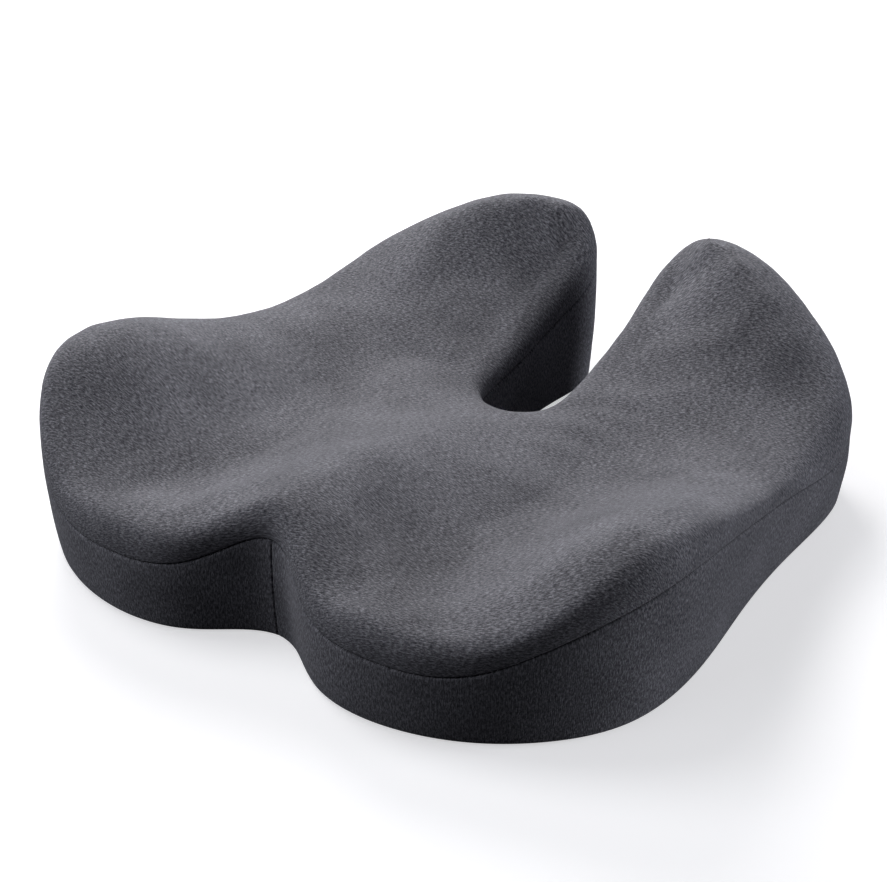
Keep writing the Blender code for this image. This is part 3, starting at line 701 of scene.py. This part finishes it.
class CUSHION_OT_side_bands(bpy.types.Operator):
    """Sew the two side bands, joined at the notch and at the slot's end"""
    bl_idname = "cushion.side_bands"
    bl_label = "Side bands"

    def execute(self, context):
        sizes, colours = context.scene.cushion_sizes, context.scene.cushion_colours
        turn = sizes.seam_turn
        form = Form(sizes.mesh_step, [turn * share for share in (0.25, 0.55, 1.0, 1.8)])
        seam, steep = form.rows[:, 2], form.steep
        levels = [(0.0026, TURN_UNDER + 0.0004)]
        for angle in (90, 60, 30):
            tuck = TURN_UNDER * (1 - math.cos(math.radians(angle)))
            levels.append((BASE_Z + TURN_UNDER * (1 - math.sin(math.radians(angle))), tuck))
        top = seam - (SEAM_GAP + turn) * steep
        low = BASE_Z + TURN_UNDER
        levels += [(low + (top - low) * share, 0.0) for share in np.linspace(0, 1, 15)]
        for angle, more in ((30, 0.0), (60, 0.0), (90, 0.0), (90, 0.0012)):
            tuck = turn * (1 - math.cos(math.radians(angle))) + more
            drop = (SEAM_GAP + turn * (1 - math.sin(math.radians(angle)))) * steep
            levels.append((seam - drop, tuck))
        count = form.half_count
        run = form.marks
        depth = np.minimum(run, run[-1] - run)
        roll = turn - np.sqrt(turn ** 2 - np.clip(turn - depth, 0.0, turn) ** 2)
        roll[[0, -1]] += 0.0002
        rows, layout = [], []
        for z, tuck in levels:
            ring = form.wall(z, tuck)[:count]
            ring[:, :2] -= form.normal[:count] * roll[:, None]
            ring[[0, -1], 0] = JOIN_GAP
            flap = ring[[0, -1]].copy()
            flap[:, :2] -= form.normal[[0, count - 1]] * 0.0012
            rows.append(np.vstack([flap[:1], ring, flap[1:]]))
            layout.append(np.column_stack([np.concatenate([run[:1], run, run[-1:]]),
                                           rows[-1][:, 2]]))
        wide = count + 2
        for side, word in ((1, "right"), (-1, "left")):
            verts = np.vstack(rows) * [side, 1, 1]
            faces = strips(len(rows), wide, False)
            if side < 0:
                faces = [face[::-1] for face in faces]
            obj = mesh_piece(word, verts, faces, np.vstack(layout) + [0.3 * side, 0.0])
            row = np.repeat(np.arange(len(rows)), wide)
            spot = np.tile(np.arange(wide), len(rows))
            sewn = (row < 5) | (row > len(rows) - 6) | (spot < 4) | (spot > wide - 5)
            stuffed(obj, np.flatnonzero(sewn), 0.5 * sizes.swell, 2.0)
            free = np.clip(np.minimum(row - 4, len(rows) - 5 - row) / 4, 0, 1)
            free = free * np.clip((np.minimum(spot, wide - 1 - spot) - 4) / 4, 0, 1)
            uneven(obj, free, 0.0006, 0.035, 5.0 * side)
            modify(obj, "SOLIDIFY", thickness=sizes.fabric, offset=-1.0)
            smooth(obj)
            knit = once("charcoal heather jersey, bands", heather_knit, colours.yarn_light,
                        colours.yarn_mid, colours.yarn_dark, 90.0)
            finish_piece(obj, "knit_side_band_" + word, knit, "cushion",
                         ["side_band_" + word])
        return {"FINISHED"}


class CUSHION_OT_underside(bpy.types.Operator):
    """Cut the two underside panels, fold them at the zip and print the grip dots"""
    bl_idname = "cushion.underside"
    bl_label = "Underside"

    def execute(self, context):
        sizes, colours = context.scene.cushion_sizes, context.scene.cushion_colours
        form = Form(sizes.mesh_step)
        outline = form.wall(0.0, BASE_SEAM + 0.0006)[:, :2]
        # grip cloth: plain polyester weave, threads drawn 0.9 mm apart so that they show
        cloth = once("woven polyester grip cloth", woven, colours.grip_cloth, 0.9)
        # cured silicone print: rubbery, half matt
        silicone = once("silicone grip dots", speckled, colours.grip_dot, 0.6, 0.1, 0.45, 0.00005)
        for side, word in ((-1, "front"), (1, "rear")):
            edge_y = ZIP_Y + side * JOIN_GAP
            ring = clipped(outline, edge_y, side)
            verts, faces = panel(ring, side, sizes.mesh_step)
            obj = mesh_piece(word, verts, faces)
            modify(obj, "SOLIDIFY", thickness=sizes.fabric, offset=-1.0)
            smooth(obj, 50)
            finish_piece(obj, "grip_cloth_" + word, cloth, "cushion",
                         ["bottom_panel_" + word])
            dots = self.dots(ring, side, sizes)
            finish_piece(dots, "grip_dots_" + word, silicone, "cushion")
        return {"FINISHED"}

    def dots(self, ring, side, sizes):
        """Low domes on an even lattice, clear of the panel's edge and of the zip."""
        bpy.ops.object.select_all(action="DESELECT")
        bpy.ops.mesh.primitive_uv_sphere_add(segments=10, ring_count=6,
                                             radius=sizes.dot_width / 2)
        dot = bpy.context.object
        bpy.ops.object.mode_set(mode="EDIT")
        bpy.ops.mesh.select_all(action="SELECT")
        bpy.ops.mesh.bisect(plane_co=(0, 0, 0), plane_no=(0, 0, 1), clear_outer=True,
                            use_fill=True)
        bpy.ops.object.mode_set(mode="OBJECT")
        spots = lattice(sizes.dot_pitch)
        spots = spots[within(spots, ring, 0.006)]
        reach = WINDOW_HALF_Y + 0.005
        clear = (np.abs(spots[:, 0]) > WINDOW_HALF_X + 0.005) | (
            np.abs(spots[:, 1] - ZIP_Y) > reach)
        clear &= np.abs(spots[:, 1] - ZIP_Y) > 0.006
        flat = Matrix.Diagonal((1.0, 1.0, (BASE_Z - 0.00005) / (sizes.dot_width / 2), 1.0))
        places = [Matrix.Translation((x, y, BASE_Z)) @ flat for x, y in spots[clear]]
        obj = repeat("dots", dot, places)
        smooth(obj, 50)
        return obj


def clipped(outline, edge_y, side):
    """The outline's part in front of (side -1) or behind (side 1) a line across it."""
    kept = []
    count = len(outline)
    for i in range(count):
        a, b = outline[i], outline[(i + 1) % count]
        a_in, b_in = side * (a[1] - edge_y) > 0, side * (b[1] - edge_y) > 0
        if a_in:
            kept.append(a)
        if a_in != b_in:
            share = (edge_y - a[1]) / (b[1] - a[1])
            kept.append(a + (b - a) * share)
    kept = np.array(kept)
    # the zip's window, cut into the straight edge and sampled for its fold
    at = [i for i in range(len(kept)) if abs(kept[i][1] - edge_y) < 1e-9]
    first = at[0] if (at[0] + 1) % len(kept) == at[1] else at[1]
    kept = np.roll(kept, -(first + 1), axis=0)
    direction = 1 if kept[0][0] > 0 else -1
    window_y = ZIP_Y + side * (WINDOW_HALF_Y + 0.0012)
    across = np.linspace(-direction, direction, FOLD_COLUMNS) * WINDOW_HALF_X
    notch = [(across[0], edge_y)] + [(x, window_y) for x in across] + [(across[-1], edge_y)]
    return np.vstack([kept, np.array(notch)])


def panel(ring, side, step):
    """Underside panel: flat cloth, its zip edge folded."""
    spots = lattice(3 * step)
    spots = spots[within(spots, ring, 0.4 * 3 * step)]
    plan = np.vstack([ring, spots])
    verts = [np.column_stack([plan, np.full(len(plan), BASE_Z)])]
    faces = [face[::-1] for face in filled(np.column_stack([ring, ring[:, 0] * 0]), spots)]
    # fold at the zip: distance from the zip's middle line, and height
    fold = [(0.0124, 0.0008), (0.0121, 0.0013), (0.0120, 0.0022), (0.0120, 0.0033),
            (0.0118, 0.0039), (0.0112, 0.00425), (0.0100, 0.0043), (0.0078, 0.0043),
            (0.0058, 0.0043)]
    count = len(ring)
    edge = list(range(count - FOLD_COLUMNS - 1, count - 1))
    across = ring[edge][:, 0]
    last = edge
    total = len(plan)
    for out, z in fold:
        verts.append([(x, ZIP_Y + side * out, z) for x in across])
        new = list(range(total, total + FOLD_COLUMNS))
        faces += [(last[i + 1], last[i], new[i], new[i + 1]) for i in range(FOLD_COLUMNS - 1)]
        last = new
        total += FOLD_COLUMNS
    return np.vstack(verts), faces


def stitches(name, path, closed, sizes, dip=0.0):
    """A row of stitches along a path, each a slim twist of thread."""
    bpy.ops.object.select_all(action="DESELECT")
    bpy.ops.mesh.primitive_uv_sphere_add(segments=6, ring_count=7, radius=1.0)
    stitch = bpy.context.object
    path = np.vstack([path, path[:1]]) if closed else np.asarray(path)
    run = np.concatenate([[0.0], np.cumsum(np.linalg.norm(np.diff(path, axis=0), axis=1))])
    count = max(1, round(run[-1] / sizes.stitch_pitch))
    middle = (np.arange(count) + 0.5) * run[-1] / count
    half = sizes.stitch_length / 2
    places = []
    for at in middle:
        ends = [Vector([np.interp(at + d, run, path[:, i]) for i in range(3)])
                for d in (-half, half)]
        centre = (ends[0] + ends[1]) / 2
        turn = (ends[1] - ends[0]).to_track_quat("Z", "Y").to_matrix().to_4x4()
        shape = Matrix.Diagonal((sizes.thread / 2, sizes.thread / 2, half, 1.0))
        places.append(Matrix.Translation(centre) @ turn @ shape)
    obj = repeat(name, stitch, places)
    smooth(obj)
    return obj


class CUSHION_OT_seams(bpy.types.Operator):
    """Sew the seams: round the top, round the underside, and the short joins"""
    bl_idname = "cushion.seams"
    bl_label = "Seams"

    def execute(self, context):
        sizes, colours = context.scene.cushion_sizes, context.scene.cushion_colours
        form = Form(sizes.mesh_step)
        mat = thread_material(colours)
        seam = form.rows[:, 2]
        rows = {"top_seam": (form.wall(seam, 0.0013), True),
                "bottom_seam": (form.wall(0.0011, BASE_SEAM), True)}
        for word, k in (("front_join", 0), ("slot_join", form.half_count - 1)):
            heights = np.linspace(0.0050, seam[k] - 0.0025, 12)
            rows[word] = (np.array([form.wall(z, 0.0013)[k] for z in heights]), False)
        outline = form.wall(0.0, BASE_SEAM)
        right = outline[5:form.half_count // 2]
        reach = np.interp(ZIP_Y, right[:, 1], right[:, 0]) - 0.001
        for word, side in (("bottom_join_left", -1), ("bottom_join_right", 1)):
            ends = (side * (WINDOW_HALF_X + 0.001), side * reach)
            rows[word] = (np.array([(x, ZIP_Y, 0.0009) for x in ends]), False)
        for word, (path, closed) in rows.items():
            obj = stitches(word, path, closed, sizes)
            node = word.replace("_left", "_thread_left").replace("_right", "_thread_right")
            node = node if "thread" in node else node + "_thread"
            finish_piece(obj, word + "_stitches", mat, "cushion", [node])
        return {"FINISHED"}


class CUSHION_OT_zip_tapes(bpy.types.Operator):
    """Weave the zip's two tapes and sew them to the folded panels"""
    bl_idname = "cushion.zip_tapes"
    bl_label = "Zip tapes"

    def execute(self, context):
        sizes, colours = context.scene.cushion_sizes, context.scene.cushion_colours
        # woven polyester zip tape, threads 0.5 mm apart
        cloth = once("woven zip tape", woven, colours.zip_tape, 0.5)
        mat = thread_material(colours)
        half = ZIP_HALF + 0.012
        for side, word in ((-1, "front"), (1, "rear")):
            near, far = sorted((ZIP_Y + side * 0.0026, ZIP_Y + side * 0.0118))
            tape = block((-half, near, ZIP_Z - 0.00025), (half, far, ZIP_Z + 0.00025))
            beads = [rod((-half, ZIP_Y + side * out, ZIP_Z), (half, ZIP_Y + side * out, ZIP_Z),
                         0.0004, 8) for out in (0.0029, 0.0116)]
            combine(tape, beads)
            smooth(tape, 40)
            finish_piece(tape, "tape_" + word, cloth, "cushion",
                         ["zip_tape_" + word])
            y = ZIP_Y + side * 0.0089
            path = np.array([(-half + 0.002, y, 0.0041), (half - 0.002, y, 0.0041)])
            row = stitches("row", path, False, sizes)
            finish_piece(row, "tape_stitches_" + word, mat, "cushion",
                         ["zip_stitch_" + word])
        return {"FINISHED"}


class CUSHION_OT_zip_coils(bpy.types.Operator):
    """Wind the zip's two meshed coils and crimp on the end stops"""
    bl_idname = "cushion.zip_coils"
    bl_label = "Zip coils and stops"

    def execute(self, context):
        sizes, colours = context.scene.cushion_sizes, context.scene.cushion_colours
        # extruded nylon monofilament: smooth, with a soft shine
        nylon = once("nylon coil", speckled, colours.coil, 0.4, 0.1, 0.38, 0.00002)
        turns = int(2 * ZIP_HALF / sizes.coil_pitch) - 1
        for side, word in ((-1, "front"), (1, "rear")):
            phase = 0.25 if side < 0 else 0.75
            wire = bpy.data.curves.new(word, "CURVE")
            wire.dimensions = "3D"
            wire.bevel_depth = 0.00027
            wire.bevel_resolution = 1
            wire.use_fill_caps = True
            line = wire.splines.new("POLY")
            angle = np.arange(turns * 10 + 1) / 10
            line.points.add(len(angle) - 1)
            for point, at in zip(line.points, angle):
                x = -ZIP_HALF + (at + phase) * sizes.coil_pitch
                y = ZIP_Y + side * (0.00105 - 0.0013 * math.cos(2 * math.pi * (at + phase)))
                z = ZIP_Z + 0.00075 * math.sin(2 * math.pi * (at + phase))
                point.co = (x, y, z, 1.0)
            obj = bpy.data.objects.new(word, wire)
            context.scene.collection.objects.link(obj)
            only(obj)
            bpy.ops.object.convert(target="MESH")
            obj = context.object
            smooth(obj, 60)
            finish_piece(obj, "coil_" + word, nylon, "cushion", ["zip_coil_" + word])
        # plated steel wire: dark, softly reflective
        steel = once("plated steel", speckled, linear("#6c6c70"), 0.3, 0.1, 0.35, 0.00002,
                     Metallic=1.0)
        for word, side in (("top", 1), ("bottom", -1)):
            near, far = sorted((side * (ZIP_HALF + 0.0003), side * (ZIP_HALF + 0.0025)))
            stop = block((near, ZIP_Y - 0.0024, ZIP_Z - 0.0012),
                         (far, ZIP_Y + 0.0024, ZIP_Z + 0.0012))
            modify(stop, "BEVEL", width=0.0006, segments=3)
            smooth(stop, 30)
            finish_piece(stop, word + "_stop", steel, "cushion",
                         ["zip_" + word + "_stop"])
        return {"FINISHED"}


def slider_plate(low, high):
    """One plate of the slider: wide at its mouth (+x), drawn in at its tail, edges eased."""
    x0, x1 = SLIDER_X - 0.0055, SLIDER_X + 0.0055
    plate_obj = divided_block((x0, ZIP_Y - 0.0044, low), (x1, ZIP_Y + 0.0044, high), 5)
    for vert in plate_obj.data.vertices:
        share = max(0.0, (vert.co.x - x0) / (x1 - x0))
        width = 0.74 + 0.26 * min(1.0, 2.2 * share) ** 0.7
        if share > 0.85:
            width -= 0.5 * (share - 0.85)
        vert.co.y = ZIP_Y + (vert.co.y - ZIP_Y) * width
    modify(plate_obj, "BEVEL", width=0.00028, segments=2, limit_method="ANGLE",
           angle_limit=math.radians(50))
    return plate_obj


class CUSHION_OT_zip_slider(bpy.types.Operator):
    """Cast the slider: two plates with turned lips, and lugs with a pin for the pull"""
    bl_idname = "cushion.zip_slider"
    bl_label = "Zip slider"

    def execute(self, context):
        colours = context.scene.cushion_colours
        low, high = ZIP_Z - 0.0015, ZIP_Z + 0.0015
        body = slider_plate(low - 0.0012, low)
        pieces = [slider_plate(high, high + 0.0012)]
        x0, x1 = SLIDER_X - 0.0050, SLIDER_X + 0.0044
        for side in (-1, 1):
            near, far = sorted((ZIP_Y + side * 0.0034, ZIP_Y + side * 0.0042))
            pieces.append(block((x0 + 0.002, near, low - 0.0004), (x1, far, ZIP_Z - 0.0007)))
            pieces.append(block((x0 + 0.002, near, ZIP_Z + 0.0007), (x1, far, high + 0.0004)))
            near, far = sorted((ZIP_Y + side * 0.0025, ZIP_Y + side * 0.0037))
            pieces.append(block((SLIDER_X - 0.0012, near, PIN_Z),
                                (SLIDER_X + 0.0012, far, low - 0.0006)))
            pieces.append(rod((SLIDER_X, near, PIN_Z), (SLIDER_X, far, PIN_Z), 0.0012, 20))
        pieces.append(rod((SLIDER_X, ZIP_Y - 0.0030, PIN_Z), (SLIDER_X, ZIP_Y + 0.0030, PIN_Z),
                          PIN_R, 14))
        bridge = block((SLIDER_X + 0.0032, ZIP_Y - 0.0008, low - 0.0004),
                       (SLIDER_X + 0.0048, ZIP_Y + 0.0008, high + 0.0004))
        pieces.append(bridge)
        combine(body, pieces)
        smooth(body, 35)
        # die-cast zinc under black enamel: smooth, glossy, faint orange peel
        enamel = once("black enamelled zinc", speckled, colours.enamel, 1.2, 0.06, 0.3, 0.00003,
                      Coat_Weight=0.6, Coat_Roughness=0.12)
        finish_piece(body, "slider_body", enamel, "slider", ["zip_slider"])
        return {"FINISHED"}


class CUSHION_OT_pull_tab(bpy.types.Operator):
    """Stamp the pull tab: an eye round the pin and a tapered tab with a slot at its end"""
    bl_idname = "cushion.pull_tab"
    bl_label = "Pull tab"

    def execute(self, context):
        x_end = SLIDER_X - PULL_LENGTH
        tab = divided_block((x_end, ZIP_Y - 0.0022, PIN_Z - 0.0006),
                            (SLIDER_X - PIN_R, ZIP_Y + 0.0022, PIN_Z + 0.0006), 7)
        for vert in tab.data.vertices:
            share = (SLIDER_X - vert.co.x) / PULL_LENGTH
            width = 0.72 + 0.28 * min(1.0, share * 1.3)
            if share > 0.9:
                width -= 1.6 * (share - 0.9)
            vert.co.y = ZIP_Y + (vert.co.y - ZIP_Y) * width
        recess = [block((x_end + 0.0045, ZIP_Y - 0.0011, PIN_Z + side * 0.0006 - 0.0002),
                        (x_end + 0.0150, ZIP_Y + 0.0011, PIN_Z + side * 0.0006 + 0.0002))
                  for side in (-1, 1)]
        hole = block((x_end + 0.0014, ZIP_Y - 0.0010, PIN_Z - 0.002),
                     (x_end + 0.0030, ZIP_Y + 0.0010, PIN_Z + 0.002))
        combine(tab, [*recess, hole], "DIFFERENCE")
        eye = rod((SLIDER_X, ZIP_Y - 0.0016, PIN_Z), (SLIDER_X, ZIP_Y + 0.0016, PIN_Z),
                  PIN_R + 0.0009, 24)
        combine(tab, [eye])
        bore = rod((SLIDER_X, ZIP_Y - 0.01, PIN_Z), (SLIDER_X, ZIP_Y + 0.01, PIN_Z),
                   PIN_R + 0.0003, 24)
        combine(tab, [bore], "DIFFERENCE")
        modify(tab, "BEVEL", width=0.00012, segments=2, limit_method="ANGLE",
               angle_limit=math.radians(50))
        smooth(tab, 35)
        enamel = bpy.data.materials["black enamelled zinc"]
        finish_piece(tab, "pull_tab", enamel, "pull", ["zip_pull"])
        return {"FINISHED"}


class CUSHION_OT_stage(bpy.types.Operator):
    """Lay the pale floor, hang the soft lights and set up the camera"""
    bl_idname = "cushion.stage"
    bl_label = "Studio"

    def execute(self, context):
        scene, colours = context.scene, context.scene.cushion_colours
        bpy.ops.object.select_all(action="DESELECT")
        bpy.ops.mesh.primitive_plane_add(size=14.0, location=(0, 0, 0))
        floor = context.object
        floor.name = "studio_floor"
        mat, tree, shader = surface("painted studio floor", 0.9, Specular_IOR_Level=0.1)
        place = add(tree, "ShaderNodeTexCoord").outputs["Object"]
        mottle = add(tree, "ShaderNodeTexNoise", {"Scale": 3.0, "Detail": 2.0}, {"Vector": place})
        tone = add(tree, "ShaderNodeValToRGB", {}, {"Fac": mottle.outputs[0]},
                   ramp=[(0.2, tuple(c * 0.995 for c in colours.floor)), (0.8, colours.floor)])
        tree.links.new(tone.outputs[0], shader.inputs["Base Color"])
        shader.inputs["Emission Color"].default_value = (*linear("#fdfdff"), 1.0)
        shader.inputs["Emission Strength"].default_value = 0.58
        floor.data.materials.append(mat)
        # the white floor lights the shadows on itself, and not the cushion above it
        floor.visible_diffuse = False
        floor.visible_glossy = False
        self.lights(scene)
        self.camera(scene)
        return {"FINISHED"}

    def lights(self, scene):
        world = bpy.data.worlds.new("studio")
        scene.world = world
        world.use_nodes = True
        tree = world.node_tree
        backing = tree.nodes["Background"]
        up = add(tree, "ShaderNodeTexCoord").outputs["Generated"]
        axes = add(tree, "ShaderNodeSeparateXYZ", {}, {0: up})
        sky = add(tree, "ShaderNodeValToRGB", {}, {"Fac": axes.outputs[2]},
                  ramp=[(0.0, (0.016, 0.016, 0.018)), (0.3, (0.018, 0.018, 0.021)),
                        (0.8, (0.045, 0.045, 0.049))])
        tree.links.new(sky.outputs[0], backing.inputs["Color"])
        backing.inputs["Strength"].default_value = 1.0
        # direction round from +x and up from the floor, in degrees; softbox width and watts
        for name, azimuth, rise, size, power, tone in (
                ("key softbox", 138, 34, 1.1, 31.0, "#fffdfa"),
                ("top softbox", 190, 60, 1.1, 15.0, "#ffffff"),
                ("right strip", 30, 9, 0.9, 19.0, "#f8faff"),
                ("back strip", 108, 10, 0.9, 7.0, "#f8faff"),
                ("left strip", 212, 10, 0.9, 9.0, "#f8faff"),
                ("front fill", 250, 42, 1.2, 5.0, "#f8faff")):
            turn, tilt = math.radians(azimuth), math.radians(rise)
            toward = Vector((math.cos(tilt) * math.cos(turn), math.cos(tilt) * math.sin(turn),
                             math.sin(tilt)))
            data = bpy.data.lights.new(name, "AREA")
            data.shape = "DISK"
            data.size = size
            data.energy = power
            data.color = linear(tone)
            lamp = bpy.data.objects.new(name, data)
            lamp.location = toward * LIGHT_DISTANCE + LIGHT_AIM
            lamp.rotation_euler = (-toward).to_track_quat("-Z", "Y").to_euler()
            scene.collection.objects.link(lamp)
        scene.view_settings.view_transform = "Standard"

    def camera(self, scene):
        azimuth, elevation = math.radians(34.65), math.radians(29.26)
        back = Vector((math.sin(azimuth) * math.cos(elevation),
                       -math.cos(azimuth) * math.cos(elevation), math.sin(elevation)))
        right = Vector((math.cos(azimuth), math.sin(azimuth), 0.0))
        upward = back.cross(right)
        data = bpy.data.cameras.new("camera")
        data.sensor_width = 36.0
        data.lens = 81.36
        data.clip_start, data.clip_end = 0.05, 50.0
        eye = MIDDLE + back * CAMERA_DISTANCE
        # aimed a little left of and above the cushion's middle, as it is framed
        aim = MIDDLE - right * 0.0084 + upward * 0.0104
        cam = bpy.data.objects.new("camera", data)
        turn = (aim - eye).to_track_quat("-Z", "Y").to_matrix()
        cam.rotation_euler = (turn @ Matrix.Rotation(CAMERA_ROLL, 3, "Z")).to_euler()
        cam.location = eye
        scene.collection.objects.link(cam)
        scene.camera = cam


PIECES = (CUSHION_OT_stage, CUSHION_OT_foam_core, CUSHION_OT_top_cover, CUSHION_OT_side_bands,
          CUSHION_OT_underside, CUSHION_OT_seams, CUSHION_OT_zip_tapes, CUSHION_OT_zip_coils,
          CUSHION_OT_zip_slider, CUSHION_OT_pull_tab)


class CUSHION_PT_panel(bpy.types.Panel):
    """Sizes, colours and pieces of the cushion"""
    bl_idname = "CUSHION_PT_panel"
    bl_label = "Seat cushion"
    bl_space_type = "VIEW_3D"
    bl_region_type = "UI"
    bl_category = "Cushion"

    def draw(self, context):
        for group in (context.scene.cushion_sizes, context.scene.cushion_colours):
            box = self.layout.box()
            for key in group.__annotations__:
                box.prop(group, key)
        column = self.layout.column()
        for piece in PIECES:
            column.operator(piece.bl_idname)


CLASSES = (CushionSizes, CushionColours, *PIECES, CUSHION_PT_panel)


def register():
    for item in CLASSES:
        bpy.utils.register_class(item)
    bpy.types.Scene.cushion_sizes = PointerProperty(type=CushionSizes)
    bpy.types.Scene.cushion_colours = PointerProperty(type=CushionColours)


def unregister():
    del bpy.types.Scene.cushion_colours
    del bpy.types.Scene.cushion_sizes
    for item in reversed(CLASSES):
        bpy.utils.unregister_class(item)


def main():
    register()
    for piece in PIECES:
        group, name = piece.bl_idname.split(".")
        getattr(getattr(bpy.ops, group), name)()


if __name__ == "__main__":
    main()
